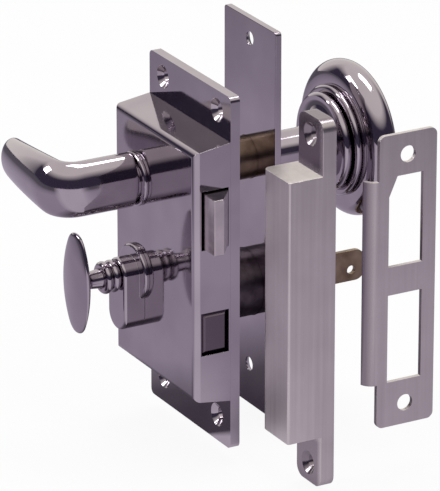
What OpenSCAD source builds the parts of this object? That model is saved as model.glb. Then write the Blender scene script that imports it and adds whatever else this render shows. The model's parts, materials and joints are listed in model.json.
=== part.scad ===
// Rim lock set: surface-mounted lock case with lever handle and thumb-turn, outside plate with
// knob and key cylinder, box keeper and lipped strike plate.
// +X points to the forend and keeper, +Y to the outside of the door, +Z up.
// The origin is the centre of the four mounting screws on the case's back (door) face.

/* [Case] */
// Width of the lock case, rear edge to forend
case_w = 72; // [64:1:90]
// Height of the lock case
case_h = 114; // [102:1:130]
// Depth of the case with its back plate
case_d = 22; // [20:0.5:26]
// Wall thickness of the cast case
wall = 2.5; // [2:0.25:2.75]
// How far the top and bottom walls lean out towards the back plate
case_draft = 2.5; // [0:0.25:4]
// Radius of the case's front edges and corners
case_edge_r = 3; // [2:0.5:4]

/* [Back plate] */
// Thickness of the back plate
back_t = 4.5; // [4:0.25:4.75]
// How far the plate stands out above the case
flange_h = 22; // [19:1:28]
// How far the plate stands out below the case
flange_low = 25; // [19:1:30]
// Corner radius of the back plate
flange_r = 2.5; // [1:0.5:4]
// Distance between mounting screws, sideways
screw_span_x = 48; // [42:1:54]
// Distance of the mounting screws above and below the case
screw_out = 13; // [9:0.5:14]
// Diameter of the mounting screw holes
screw_d = 6; // [4:0.5:7]
// Diameter of the countersinks
screw_head_d = 10.5; // [8:0.5:12]

/* [Handle] */
// Distance from the rear edge of the case to the spindle axis
axis_rear = 19.5; // [19:0.5:26]
// Distance of the spindle axis below the top of the case
spindle_drop = 28; // [26:0.5:34]
// Side of the square spindle
spindle_size = 8; // [7:0.5:8.5]
// Distance from the case face to the centre line of the grip
lever_reach = 36; // [32:1:44]
// Length of the grip from the spindle axis to its tip
grip_len = 62; // [48:1:70]
// Height of the lever at its neck
lever_h = 25; // [19:0.5:28]
// Thickness of the lever at its neck
lever_t = 16; // [13:0.5:18]
// Radius of the bend's centre line
lever_bend_r = 9; // [8:0.5:12]
// How far the lever turns to draw the latch
lever_turn = 40; // [36:1:45]

/* [Latch] */
// Distance of the latch's centre below the spindle axis
latch_drop = 3; // [2:0.5:9]
// Height of the latch head
latch_h = 25; // [22:0.5:28]
// Thickness of the latch head
latch_t = 11.5; // [10:0.5:12]
// How far the latch stands out of the forend
latch_throw = 10; // [8:0.25:11]

/* [Deadbolt] */
// Distance of the deadbolt's centre below the thumb-turn's axis
bolt_drop = 12; // [10:0.5:14]
// Height of the deadbolt head
bolt_h = 18.5; // [16:0.5:20]
// Thickness of the deadbolt head
bolt_t = 12.5; // [10:0.5:13]
// How far the deadbolt is thrown
bolt_throw = 12; // [10:0.25:13]

/* [Thumb turn] */
// Distance of the turn's axis below the spindle
turn_drop = 43; // [40:0.5:46]
// Distance from the case face to the middle of the oval knob
turn_reach = 29; // [26:1:36]
// Height of the oval knob
turn_knob_h = 46; // [40:1:50]
// Width of the oval knob
turn_knob_w = 23; // [20:1:30]
// Thickness of the oval knob at its middle
turn_knob_t = 6; // [5:0.5:8]
// Height of the boss that carries the stem
boss_h = 10; // [6:0.5:12]
// Width of the boss
boss_w = 15.4; // [13:0.2:18]
// Distance between the centres of the boss's round ends
boss_len = 17.5; // [10:0.5:22]

/* [Outside plate and knob] */
// Thickness of the door between case and outside plate
door_t = 33; // [30:1:40]
// Width of the outside plate
plate_w = 45; // [42:1:54]
// Height of the outside plate
plate_h = 180; // [170:1:200]
// Thickness of the outside plate
plate_t = 3; // [2:0.25:5]
// How far the outside plate's centre lies beside the spindle axis, towards the forend
plate_shift = 2; // [0:0.5:4]
// Distance of the outside plate's centre below the spindle axis
plate_drop = 26; // [20:0.5:32]
// Distance between the outside plate's screws
plate_screw_span = 152; // [140:1:160]
// How far the outside plate's screws sit above its centre
plate_screw_rise = 5; // [0:0.5:8]
// Radius of the outside knob
knob_r = 35; // [30:0.5:38]
// Distance from the outside plate to the knob's rim
knob_reach = 48; // [44:1:60]
// Radius of the knob's neck
knob_neck_r = 8.5; // [8:0.25:10]

/* [Key cylinder] */
// Distance of the cylinder's axis below the turn's axis
cylinder_drop = 15.5; // [15:0.25:16.5]
// Diameter of the cylinder body
cylinder_d = 30; // [28:0.5:32]
// How far the cylinder stands out of the outside plate
cylinder_out = 14; // [8:0.5:16]
// Depth of the cylinder body behind the outside plate
cylinder_in = 24; // [18:1:27]
// Diameter of the turning plug
plug_d = 13; // [12:0.5:14]
// Length of the key's bow
key_bow_len = 26; // [24:0.5:32]
// Height of the key's bow
key_bow_h = 14.5; // [13:0.5:22]

/* [Box keeper] */
// Gap between the forend and the keeper as laid out
keeper_gap = 27.5; // [24:0.5:40]
// Width of the keeper
keeper_w = 22; // [17:0.5:25]
// Depth of the keeper with its base plate
keeper_d = 22.6; // [20:0.2:26]
// Height of the keeper's box
keeper_h = 118; // [110:1:124]
// How far the keeper's tabs stand out above and below the box
keeper_tab = 24; // [18:1:28]
// Thickness of the keeper's base plate
keeper_base_t = 6.4; // [3:0.2:8]
// Distance of the keeper's front in front of the door face
keeper_front = 4.4; // [0:0.2:8]

/* [Strike plate] */
// Gap between the forend and the strike as laid out
strike_gap = 33.5; // [28:0.5:44]
// Distance from the door face to the strike's inner edge
strike_out = 47.4; // [44:0.2:54]
// Width of the strike plate
strike_w = 28.2; // [26:0.2:32]
// Height of the strike plate
strike_h = 133.5; // [128:0.5:140]
// Height of the window for the latch
latch_window_h = 41; // [34:0.2:42]
// Height of the window for the deadbolt
bolt_window_h = 40.2; // [30:0.2:42]
// Height of the curved lip
lip_h = 93; // [80:1:96]
// Thickness of the strike plate
strike_t = 2; // [1.5:0.25:3]
// Radius of the curved lip
lip_r = 5.5; // [4:0.5:10]
// Diameter of the strike's screw holes
strike_screw_d = 7.5; // [5:0.5:8]
// Distance between the strike's screws
strike_screw_span = 114; // [108:1:118]

/* [Fits] */
// Radial clearance of shafts that turn in a hole
run_fit = 0.05; // [0.03:0.01:0.08]
// Clearance of bolts that slide in an opening
slide_fit = 0.3; // [0.2:0.05:0.4]
// Clearance between fixed pieces that fit in each other
seat_fit = 0.02; // [0.01:0.01:0.05]

/* [Hidden] */
$fn = 64;

// Colours of the finishes
polished = "lightsteelblue";
satin = "silver";
steel = "slategray";
gold = "goldenrod";

// Planes across the case: front face, inside of the front wall, inside of the back plate, middle
front_y = -case_d;
inner_front = front_y + wall;
inner_back = -back_t;
mid_y = (inner_front + inner_back) / 2;
inner_x = case_w / 2 - wall;
inner_z = case_h / 2 - wall;
over = 1;

// Axes of the handle, thumb-turn and key cylinder, heights of the two bolts
axis_x = axis_rear - case_w / 2;
spindle_z = case_h / 2 - spindle_drop;
turn_z = spindle_z - turn_drop;
cylinder_z = turn_z - cylinder_drop;
latch_z = spindle_z - latch_drop;
bolt_z = turn_z - bolt_drop;
bolts_mid = (latch_z + bolt_z) / 2;

// Lock work: flat tails slide in the middle plane, cranks turn beside them
tail_t = 4;
tail_front = mid_y - tail_t / 2;
tail_back = mid_y + tail_t / 2;
work_gap = 0.9;
end_play = 0.3;

// Hub follower and its arm, which reaches far enough to draw the latch in one turn of the lever
hub_r = 9;
journal_r = 7;
arm_w = 5;
arm_r = latch_throw / sin(lever_turn) + arm_w / 2;
arm_lash = 0.7;
arm_gap = 0.5;

// Latch: gap round the head, bar over the arm, hook behind it, web with the guide slot
latch_gap = slide_fit + 0.5;
latch_nose = 4.5;
latch_step = 1;
bar_z = spindle_z + arm_r + arm_gap;
bar_h = 3;
hook_w = 3;
hook_z = spindle_z + hub_r + arm_gap;
hook_x = axis_x - arm_w / 2 - arm_lash;
latch_in = 16;
latch_back = case_w / 2 - latch_in;
web_w = 12;
web_x = latch_back - web_w;
guide_r = 2.4;
guide_fit = 0.15;
guide_edge = 2;
latch_guide_x = web_x - 5.5;
latch_guide_z = bar_z - guide_r - 1;
latch_guide_low = latch_guide_z - guide_r - 3;
spring_r = 4;
spring_wire = 0.6;
spring_turns = 7;
spring_len = 23;
spring_drop = 7;
spring_z = latch_z - spring_drop;
spring_post_r = 3;
spring_post_x = latch_back - spring_len - spring_post_r;

// Deadbolt: head with a chamfered end, tail and the cranks that drive it
bolt_gap = slide_fit + 0.2;
bolt_sink = 0.2;
bolt_chamfer = 1.6;
crank_r = bolt_throw / (2 * sin(45));
pin_r = 2;
pin_fit = 0.45;
pin_x = axis_x - bolt_throw / 2;
pivot_r = 3;
bolt_in = 26;
bolt_back = case_w / 2 - bolt_in;
bolt_end = case_w / 2 - bolt_sink;
bolt_rear = 4;
bolt_tail_x = pin_x - pin_r - pin_fit - bolt_rear;
bolt_tail_top = turn_z - pivot_r - arm_gap;
bolt_tail_low = cylinder_z - guide_r - 3.1;
notch_low = cylinder_z + crank_r * cos(45) - pin_r - pin_fit;
bolt_guide_x = bolt_back - 6;
bolt_guide_z = cylinder_z;
crank_front = inner_front + 2 * end_play;
crank_back = tail_front - work_gap;
cam_front = tail_back + work_gap;
cam_back = inner_back - end_play;
crank_end_r = pin_r + 0.6;
cam_hub_r = 6;
cam_rim = 0.8;
pin_gap = 0.1;
leaf_t = 0.8;
leaf_len = 26;
leaf_block_w = 3;
leaf_block_h = 5;

// Collars and the boss on the case face
collar_t = 2;
lever_shank_r = 9;
lever_collar_r = 12;
turn_stem_r = 4.5;
turn_collar_r = 12.5;
turn_collar_t = 2.5;
boss_edge_r = 1.5;

// Lever: sweep of an oval section
lever_sides = 20;
neck_y = front_y - collar_t - end_play;
grip_y = front_y - lever_reach;
tip_len = 8;
tip_in = 5;
tip_hook = 2.2;
tip_drop = 3;
bend_swell = 0.02;
tip_taper = 0.26;

// Set screws in lever and knob
grub_r = 2.5;
grub_sink = 1;
grub_y = neck_y - 9;

// Thumb-turn: oval knob and the rings of its stem
turn_knob_y = front_y - turn_reach;
turn_crown_r = 1.5 * turn_knob_w;
turn_neck_r = 3.8;
turn_base_r = 5.5;
turn_ring_r = 7.2;
turn_ring_round = 1.9;

// Outside plate, bush and knob planes
plate_in = door_t;
plate_out = door_t + plate_t;
plate_z = spindle_z - plate_drop;
plate_r = 1.5;
plate_x_mid = axis_x + plate_shift;
bush_r = 9.5;
bush_len = 21;
bush_lip_t = 2;
bush_lip_r = 12;
spigot_r = 7;
spigot_len = 15;
rim_y = plate_out + knob_reach;
knob_grub_y = plate_out + 12;
spindle_in = grip_y + lever_bend_r + 2;
spindle_out = rim_y - 18;

// Key cylinder planes
cylinder_face = plate_out + cylinder_out;
cylinder_rear = plate_in - cylinder_in;
cylinder_edge = 1;
plug_lip = 1;
plug_rim = 2;
ring_w = 5;
ring_r = cylinder_d / 2 + ring_w;
ring_base_t = 2;
ring_slope = 3;
nut_t = 5;
nut_rear = 1.5;
tail_bar_w = 7;
tail_bar_t = 2;
tail_bar_in = 1;
key_t = 2.4;
keyway_h = 8;
keyway_end = 4;
key_gap = 0.5;
key_collar = 1.5;
key_shank = 15;
key_bow_drop = 2.5;
key_bow_r = 5;
key_hole_r = 2;
key_pitch = 4;
key_cuts = 5;

// Box keeper planes
keeper_x = case_w / 2 + keeper_gap;
keeper_y = -keeper_front;
keeper_back = keeper_y + keeper_d;
keeper_fall = 2;
keeper_low = bolts_mid - keeper_fall - keeper_h / 2;
keeper_wall = 2.5;
keeper_lip_r = 3;
keeper_corner = 1;
keeper_tab_in = 1.5;
keeper_tab_r = 5;
keeper_screw_in = 8.5;

// Strike plate planes
strike_x = case_w / 2 + strike_gap;
strike_z = bolts_mid - 3.2;
strike_r = 3;
window_inset = 5;
window_rim = 6.5;
latch_window_z = latch_z - 1.8;
bolt_window_z = bolt_z - 3.2;
window_cut_y = 4;
window_cut_z = 9;
lip_turn = 80;

// Screws that hold the case to the back plate, clear of the latch's tail
screw_span_z = case_h + 2 * screw_out;
case_screw_r = 1.5;
case_boss_r = 3.4;
case_screw_in = 7;
case_screw_x = case_w / 2 - case_screw_in;
case_screw_z = case_h / 2 - case_screw_in;
case_screws_at = [[case_screw_x, case_screw_z], [case_screw_x, -case_screw_z],
                  [-case_screw_x, -case_screw_z], [-case_screw_x, spindle_z - hub_r - case_boss_r]];
case_screw_len = 8;
case_screw_sink = 0.2;
case_screw_slot = 0.8;

// Round bar along Y
module rod_y(x, z, y0, y1, r) {
    translate([x, y0, z]) rotate([-90, 0, 0]) cylinder(r = r, h = y1 - y0);
}

// Square bar along Y
module bar_y(x, z, y0, y1, w, h) {
    translate([x - w / 2, y0, z - h / 2]) cube([w, y1 - y0, h]);
}

// Flat shape drawn in X and Z, between two planes across Y
module plate_y(y0, y1) {
    translate([0, y1, 0]) rotate([90, 0, 0]) linear_extrude(y1 - y0) children();
}

// Flat shape drawn in Y and Z, between two planes across X
module plate_x(x0, x1) {
    translate([x0, 0, 0]) rotate([90, 0, 90]) linear_extrude(x1 - x0) children();
}

// Shape turned about an axis along Y: drawn with radius across and Y up
module turned_y(x, z) {
    translate([x, 0, z]) rotate([-90, 0, 0]) rotate_extrude() children();
}

// Countersunk hole along Y with its head on the low side
module sunk_y(x, z, y0, y1, d, head_d) {
    sink = (head_d - d) / 2;
    rod_y(x, z, y0 - over, y1 + over, d / 2);
    translate([x, y0 - 0.01, z]) rotate([-90, 0, 0]) cylinder(r1 = head_d / 2, r2 = d / 2, h = sink);
}

// Rectangle with round corners, from its low corner
module round_rect(x0, z0, w, h, r) {
    translate([x0 + r, z0]) square([w - 2 * r, h]);
    translate([x0, z0 + r]) square([w, h - 2 * r]);
    for (x = [x0 + r, x0 + w - r], z = [z0 + r, z0 + h - r]) translate([x, z]) circle(r);
}

// Straight slots with round ends, centre to centre
module slot_x(x0, x1, z, r) {
    translate([x0, z - r]) square([x1 - x0, 2 * r]);
    for (x = [x0, x1]) translate([x, z]) circle(r);
}

module slot_z(x, z0, z1, r) {
    translate([x - r, z0]) square([2 * r, z1 - z0]);
    for (z = [z0, z1]) translate([x, z]) circle(r);
}

// Oval made of four tangent arcs
module oval(half_w, half_h) {
    end_r = half_w * 0.7;
    end_z = half_h - end_r;
    side_c = (end_z * end_z - (half_w - end_r) * (half_w - end_r)) / (2 * (half_w - end_r));
    side_r = half_w + side_c;
    meet_z = end_z * side_r / (side_r - end_r);
    intersection() {
        translate([-side_c, 0]) circle(side_r);
        translate([side_c, 0]) circle(side_r);
        translate([-half_w, -meet_z]) square([2 * half_w, 2 * meet_z]);
    }
    for (z = [-end_z, end_z]) translate([0, z]) circle(end_r);
}

// Points on an arc
function arc(cx, cy, r, a0, a1, n) =
    [for (i = [0:n]) let (a = a0 + (a1 - a0) * i / n) [cx + r * cos(a), cy + r * sin(a)]];

// Skin of a tube from rings of points, closed at both ends
function ring_faces(rings, sides) = concat(
    [[for (i = [0:sides - 1]) i]],
    [for (k = [0:rings - 2], i = [0:sides - 1]) let (j = (i + 1) % sides)
        [k * sides + i, (k + 1) * sides + i, (k + 1) * sides + j, k * sides + j]],
    [[for (i = [sides - 1:-1:0]) (rings - 1) * sides + i]]);

// Round wire along a path that runs about the Z axis
function unit(v) = v / norm(v);
function wire_ring(p, t, r, sides) = let (n = unit(cross(t, [0, 0, 1])), b = cross(n, unit(t)))
    [for (i = [0:sides - 1]) p + r * (cos(360 * i / sides) * n + sin(360 * i / sides) * b)];
module wire_tube(path, r) {
    sides = 6;
    last = len(path) - 1;
    points = [for (k = [0:last]) let (run = path[min(k + 1, last)] - path[max(k - 1, 0)])
        each wire_ring(path[k], run, r, sides)];
    polyhedron(points, ring_faces(last + 1, sides));
}

// Centre line of a coil about the Z axis
function coil_path(r, z0, z1, turns) = let (steps = 14 * turns)
    [for (k = [0:steps]) let (a = 360 * turns * k / steps)
        [r * cos(a), r * sin(a), z0 + (z1 - z0) * k / steps]];

// Cast case: side view with leaning top and bottom walls, drawn in Y and Z
module case_side() {
    r = case_edge_r;
    lean = atan(case_draft / (inner_back - front_y));
    round_z = case_h / 2 - r;
    touch = [front_y + r - r * sin(lean), round_z + r * cos(lean)];
    back_z = touch[1] + (inner_back - touch[0]) * tan(lean);
    for (s = [-1, 1]) {
        translate([front_y + r, s * round_z]) circle(r);
        polygon([[front_y, 0], [front_y, s * round_z], [front_y + r, s * round_z],
            [touch[0], s * touch[1]], [inner_back, s * back_z], [inner_back, 0]]);
    }
}

// Cast case: plan with rounded front edges, drawn in X and Y
module case_plan() {
    r = case_edge_r;
    half = case_w / 2;
    translate([-half, front_y + r]) square([case_w, inner_back - front_y - r]);
    translate([-half + r, front_y]) square([case_w - 2 * r, r]);
    for (s = [-1, 1]) translate([s * (half - r), front_y + r]) circle(r);
}

// Opening in the forend for a bolt head
module forend_opening(z, t, h, gap) {
    bar = [wall + 2 * over, t + 2 * gap, h + 2 * gap];
    translate([inner_x - over, mid_y - bar[1] / 2, z - bar[2] / 2]) cube(bar);
}

module case_shell() {
    color(polished) difference() {
        union() {
            difference() {
                intersection() {
                    plate_x(-case_w / 2, case_w / 2) case_side();
                    translate([0, 0, -case_h]) linear_extrude(2 * case_h) case_plan();
                }
                plate_y(inner_front, inner_back + over)
                    translate([-inner_x, -inner_z]) square([2 * inner_x, 2 * inner_z]);
            }
            for (p = case_screws_at) rod_y(p[0], p[1], inner_front - wall / 2, inner_back, case_boss_r);
        }
        for (p = case_screws_at) rod_y(p[0], p[1], inner_front, inner_back + over, case_screw_r + seat_fit);
        rod_y(axis_x, spindle_z, front_y - over, inner_front + over, journal_r + run_fit);
        rod_y(axis_x, turn_z, front_y - over, inner_front + over, turn_stem_r + run_fit);
        forend_opening(latch_z, latch_t, latch_h, latch_gap);
        forend_opening(bolt_z, bolt_t, bolt_h, bolt_gap);
    }
}

// Back plate with the screwed flanges
module back_plate() {
    low = -case_h / 2 - flange_low;
    color(polished) difference() {
        plate_y(inner_back, 0) round_rect(-case_w / 2, low, case_w, case_h + flange_low + flange_h, flange_r);
        for (s = [-1, 1], t = [-1, 1])
            sunk_y(s * screw_span_x / 2, t * screw_span_z / 2, inner_back, 0, screw_d, screw_head_d);
        for (p = case_screws_at) {
            rod_y(p[0], p[1], inner_back - over, over, case_screw_r + seat_fit);
            rod_y(p[0], p[1], -case_screw_r, over, 2 * case_screw_r + seat_fit);
        }
        rod_y(axis_x, spindle_z, inner_back - over, over, journal_r + run_fit);
        rod_y(axis_x, turn_z, inner_back - over, over, pivot_r + run_fit);
        rod_y(axis_x, cylinder_z, inner_back - over, over, cam_hub_r + run_fit);
    }
}

// Cheese-head screws from the back into the case's bosses
module case_screws() {
    color(steel) for (p = case_screws_at) difference() {
        union() {
            rod_y(p[0], p[1], inner_back - case_screw_len, -case_screw_r / 2, case_screw_r);
            rod_y(p[0], p[1], -case_screw_r, -case_screw_sink, 2 * case_screw_r);
        }
        bar_y(p[0], p[1], -case_screw_r / 2, over, 4 * case_screw_r + over, case_screw_slot);
    }
}

// Posts between front wall and back plate: bolt guides and the latch spring's stop
module guide_posts() {
    color(steel) {
        rod_y(latch_guide_x, latch_guide_z, inner_front, inner_back, guide_r);
        rod_y(bolt_guide_x, bolt_guide_z, inner_front, inner_back, guide_r);
        rod_y(spring_post_x, spring_z, inner_front, inner_back, spring_post_r);
    }
}

// Outline of a turned collar with a rounded rim on the case's face
module collar_outline(outer_r, t) {
    polygon(concat([[0, front_y], [outer_r, front_y]],
        arc(outer_r - t / 2, front_y - t / 2, t / 2, 0, -90, 6), [[0, front_y - t]]));
}

module lever_collar() {
    color(polished) difference() {
        turned_y(axis_x, spindle_z) collar_outline(lever_collar_r, collar_t);
        rod_y(axis_x, spindle_z, front_y - collar_t - over, front_y + over, lever_shank_r + run_fit);
    }
}

// Boss for the thumb-turn's stem: long shape with round ends and rounded edge on a round foot
module turn_collar() {
    r = boss_w / 2;
    e = boss_edge_r;
    low = turn_z - boss_len;
    top_y = front_y - boss_h;
    color(polished) difference() {
        union() {
            turned_y(axis_x, turn_z) collar_outline(turn_collar_r, turn_collar_t);
            plate_y(top_y + e, front_y) slot_z(axis_x, low, turn_z, r);
            plate_y(top_y, top_y + e + over) slot_z(axis_x, low, turn_z, r - e);
            for (s = [-1, 1]) translate([axis_x + s * (r - e), top_y + e, low]) cylinder(r = e, h = boss_len);
            for (z = [low, turn_z]) turned_y(axis_x, z) translate([r - e, top_y + e]) circle(e);
        }
        rod_y(axis_x, turn_z, top_y - over, front_y + over, turn_stem_r + run_fit);
    }
}

// Leaf spring under the deadbolt's tail, on a block at the case's rear wall
module bolt_spring() {
    leaf_z = bolt_tail_low - end_play - leaf_t;
    color(steel) plate_y(tail_front, tail_back) translate([-inner_x, leaf_z]) {
        square([leaf_block_w, leaf_block_h]);
        square([leaf_len, leaf_t]);
    }
}

// Lever handle: centre line in plan with the section's direction and the share of the grip behind it
function lever_path() = let (run = grip_len - lever_bend_r - tip_len) concat(
    [for (i = [0:3]) [axis_x, neck_y + (grip_y + lever_bend_r - neck_y) * i / 3, 90, 0]],
    [for (i = [1:7]) let (a = 90 * i / 7) [axis_x - lever_bend_r * (1 - cos(a)),
        grip_y + lever_bend_r * (1 - sin(a)), 90 - a, 0]],
    [for (i = [1:8]) let (f = i / 8)
        [axis_x - lever_bend_r - run * f, grip_y + tip_in * f * f, -12 * f, f]],
    [for (i = [1:6]) let (a = 86 * i / 6) [axis_x - lever_bend_r - run - tip_len * sin(a),
        grip_y + tip_in + tip_hook * sin(a), -14, 1 + a / 90]]);
// Size of the section: swells at the bend, tapers along the grip and closes at the tip
function swell(k) = k < 4 ? 1 : k < 11 ? 1 + bend_swell * sin(90 * (k - 3) / 7) : 1 + bend_swell;
function taper(f) = f <= 1 ? 1 - tip_taper * f : (1 - tip_taper) * cos(90 * (f - 1));
function squared(c) = pow(abs(c), 0.8) * sign(c);
function lever_point(p, s, a) = let (across = lever_t / 2 * s * squared(cos(a)),
    rise = lever_h / 2 * s * squared(sin(a)), drop = tip_drop * pow(min(1, p[3]), 2))
    [p[0] + across * sin(p[2]), p[1] - across * cos(p[2]), spindle_z + rise - drop];

module lever_handle() {
    path = lever_path();
    side = spindle_size + 2 * seat_fit;
    points = [for (k = [0:len(path) - 1], i = [0:lever_sides - 1])
        lever_point(path[k], swell(k) * taper(path[k][3]), 360 * (i + 0.5) / lever_sides)];
    color(polished) difference() {
        union() {
            polyhedron(points, ring_faces(len(path), lever_sides));
            rod_y(axis_x, spindle_z, neck_y - over / 2, front_y - end_play, lever_shank_r);
        }
        bar_y(axis_x, spindle_z, spindle_in - seat_fit, front_y + over, side, side);
        translate([axis_x, grub_y, spindle_z - lever_h]) cylinder(r = grub_r + seat_fit, h = lever_h);
    }
}

// Socket set screws that clamp lever and knob to the spindle
module grub_screw(y, depth) {
    low = spindle_z - depth;
    difference() {
        translate([axis_x, y, low]) cylinder(r = grub_r, h = depth - spindle_size / 2);
        translate([axis_x, y, low - over]) cylinder(r = grub_r / 2, h = grub_r + over, $fn = 6);
    }
}

module lever_grub_screw() {
    color(steel) grub_screw(grub_y, lever_h / 2 - grub_sink);
}

module knob_grub_screw() {
    color(steel) grub_screw(knob_grub_y, knob_neck_r - grub_sink / 2);
}

module spindle() {
    color(steel) bar_y(axis_x, spindle_z, spindle_in, spindle_out, spindle_size, spindle_size);
}

// Hub turned by the spindle, with the arm that draws the latch
module hub_follower() {
    side = spindle_size + 2 * seat_fit;
    color(gold) difference() {
        union() {
            rod_y(axis_x, spindle_z, inner_front + end_play, inner_back - end_play, hub_r);
            rod_y(axis_x, spindle_z, front_y + end_play, -end_play, journal_r);
            plate_y(tail_front + guide_fit, tail_back - guide_fit) translate([axis_x, spindle_z]) {
                translate([-arm_w / 2, 0]) square([arm_w, arm_r - arm_w / 2]);
                translate([0, arm_r - arm_w / 2]) circle(arm_w / 2);
            }
        }
        bar_y(axis_x, spindle_z, front_y - over, over, side, side);
    }
}

// Torsion spring round the hub, with its long leg against the latch guide post
module hub_spring() {
    wire = 0.5;
    coil_r = hub_r + wire + end_play;
    leg_x = latch_guide_x - guide_r - wire - end_play - axis_x;
    leg_z = latch_guide_z - spindle_z;
    start = tail_back + work_gap + wire;
    end = inner_back - 2 * end_play - wire;
    color(steel) translate([axis_x, 0, spindle_z]) rotate([-90, 0, 0])
        wire_tube(concat([[leg_x, -leg_z, start]], coil_path(coil_r, start, end, 2.5)), wire);
}

// Outside plate with countersinks on its outer face
module outer_plate() {
    color(polished) difference() {
        plate_y(plate_in, plate_out)
            round_rect(plate_x_mid - plate_w / 2, plate_z - plate_h / 2, plate_w, plate_h, plate_r);
        for (s = [-1, 1]) translate([0, plate_in + plate_out, plate_z + plate_screw_rise]) mirror([0, 1, 0])
            sunk_y(plate_x_mid, s * plate_screw_span / 2, plate_in, plate_out, screw_d, screw_head_d);
        rod_y(axis_x, spindle_z, plate_in - over, plate_out + over, bush_r + seat_fit);
        rod_y(axis_x, cylinder_z, plate_in - over, plate_out + over, cylinder_d / 2 + seat_fit);
    }
}

// Brass bush in the outside plate, in which the knob's spigot turns
module knob_bush() {
    bore = spigot_r + run_fit;
    rear = plate_in - bush_len;
    face = plate_out + bush_lip_t;
    color(gold) turned_y(axis_x, spindle_z) polygon([[bore, rear], [bush_r, rear], [bush_r, plate_out],
        [bush_lip_r, plate_out], [bush_lip_r - bush_lip_t / 2, face], [bore, face]]);
}

// Turned outside knob: spigot, neck, flare, bead, stepped rim and shallow domed face
module door_knob() {
    neck_y0 = plate_out + bush_lip_t + end_play;
    spigot_y = plate_in - spigot_len;
    side = spindle_size + 2 * seat_fit;
    foot_r = knob_neck_r + 2;
    bead_r = knob_r * 0.57;
    flare_r = bead_r + 0.5;
    rim_r = 7;
    ridge_r = 1.6;
    dome_r = 80;
    profile = concat(
        [[0, spigot_y], [spigot_r, spigot_y], [spigot_r, neck_y0], [foot_r, neck_y0], [foot_r, neck_y0 + 3],
         [knob_neck_r, neck_y0 + 4.5]],
        arc(flare_r, rim_y - 26, flare_r - knob_neck_r, 180, 95, 8),
        arc(bead_r, rim_y - 12.4, 2.2, -70, 80, 6),
        [[bead_r - 1.5, rim_y - 9.5]],
        arc(bead_r + 2 * ridge_r, rim_y - 8.4, ridge_r, -100, 80, 6),
        [[knob_r - rim_r - 2, rim_y - rim_r]],
        arc(knob_r - rim_r, rim_y, rim_r, -80, 90, 10),
        [[bead_r + 4, rim_y + rim_r], [bead_r + 2.5, rim_y + rim_r - 1]],
        arc(0, rim_y + rim_r + 2.5 - dome_r, dome_r, 90 - asin(bead_r / dome_r), 90, 6));
    color(polished) difference() {
        turned_y(axis_x, spindle_z) polygon(profile);
        bar_y(axis_x, spindle_z, 0, spindle_out + end_play, side, side);
        translate([axis_x, knob_grub_y, spindle_z - knob_r]) cylinder(r = grub_r + seat_fit, h = knob_r);
    }
}

// Spring latch: bevelled head, web with guide slot, bar over the hub's arm and hook
module latch_bolt() {
    nose = case_w / 2 + latch_throw;
    face_y = mid_y - latch_t / 2;
    guide_x = latch_guide_x - guide_r - guide_edge;
    top = bar_z + bar_h;
    hook_end = hook_x - hook_w;
    color(gold) {
        translate([0, 0, latch_z - latch_h / 2]) linear_extrude(latch_h) polygon([
            [latch_back, face_y], [nose, face_y], [nose, face_y + latch_nose],
            [case_w / 2 + latch_step, face_y + latch_t], [latch_back, face_y + latch_t]]);
        plate_y(tail_front, tail_back) difference() {
            union() {
                translate([web_x, latch_z]) square([latch_back + over - web_x, top - latch_z]);
                translate([guide_x, latch_guide_low]) square([web_x + over - guide_x, top - latch_guide_low]);
                translate([hook_end, bar_z]) square([web_x + over - hook_end, bar_h]);
                translate([hook_end, hook_z]) square([hook_w, top - hook_z]);
            }
            slot_x(latch_guide_x, latch_guide_x + latch_throw, latch_guide_z, guide_r + guide_fit);
        }
    }
}

module latch_spring() {
    start = spring_post_x + spring_post_r + spring_wire;
    end = latch_back - spring_wire;
    color(steel) translate([0, mid_y, spring_z]) rotate([0, 90, 0])
        wire_tube(coil_path(spring_r, start, end, spring_turns), spring_wire);
}

// Deadbolt: square head with a chamfered end, flat tail with the open notch that both cranks drive
module deadbolt() {
    c = bolt_chamfer * sqrt(2);
    color(gold) {
        difference() {
            translate([bolt_back, mid_y - bolt_t / 2, bolt_z - bolt_h / 2])
                cube([bolt_end - bolt_back, bolt_t, bolt_h]);
            for (s = [-1, 1]) {
                translate([bolt_end, mid_y, bolt_z + s * bolt_h / 2]) rotate([0, 45, 0])
                    cube([c, bolt_t + over, c], center = true);
                translate([bolt_end, mid_y + s * bolt_t / 2, bolt_z]) rotate([0, 0, 45])
                    cube([c, c, bolt_h + over], center = true);
            }
        }
        plate_y(tail_front, tail_back) difference() {
            translate([bolt_tail_x, bolt_tail_low])
                square([bolt_back + over - bolt_tail_x, bolt_tail_top - bolt_tail_low]);
            translate([pin_x - pin_r - pin_fit, notch_low])
                square([2 * (pin_r + pin_fit), bolt_tail_top - notch_low + over]);
            slot_x(bolt_guide_x - bolt_throw, bolt_guide_x, bolt_guide_z, guide_r + guide_fit);
        }
    }
}

// Oval thumb-turn knob with crowned faces
module turn_knob() {
    half = turn_knob_w / 2;
    crown = turn_crown_r - turn_knob_t / 2;
    spread = 20;
    lens = concat(arc(0, -crown, turn_crown_r, 90 + spread, 90 - spread, 24),
        arc(0, crown, turn_crown_r, -90 + spread, -90 - spread, 24));
    color(polished) intersection() {
        plate_y(turn_knob_y - turn_knob_t, turn_knob_y + turn_knob_t)
            translate([axis_x, turn_z]) oval(half, turn_knob_h / 2);
        translate([axis_x, turn_knob_y, turn_z - turn_knob_h]) linear_extrude(2 * turn_knob_h) polygon(lens);
    }
}

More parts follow.
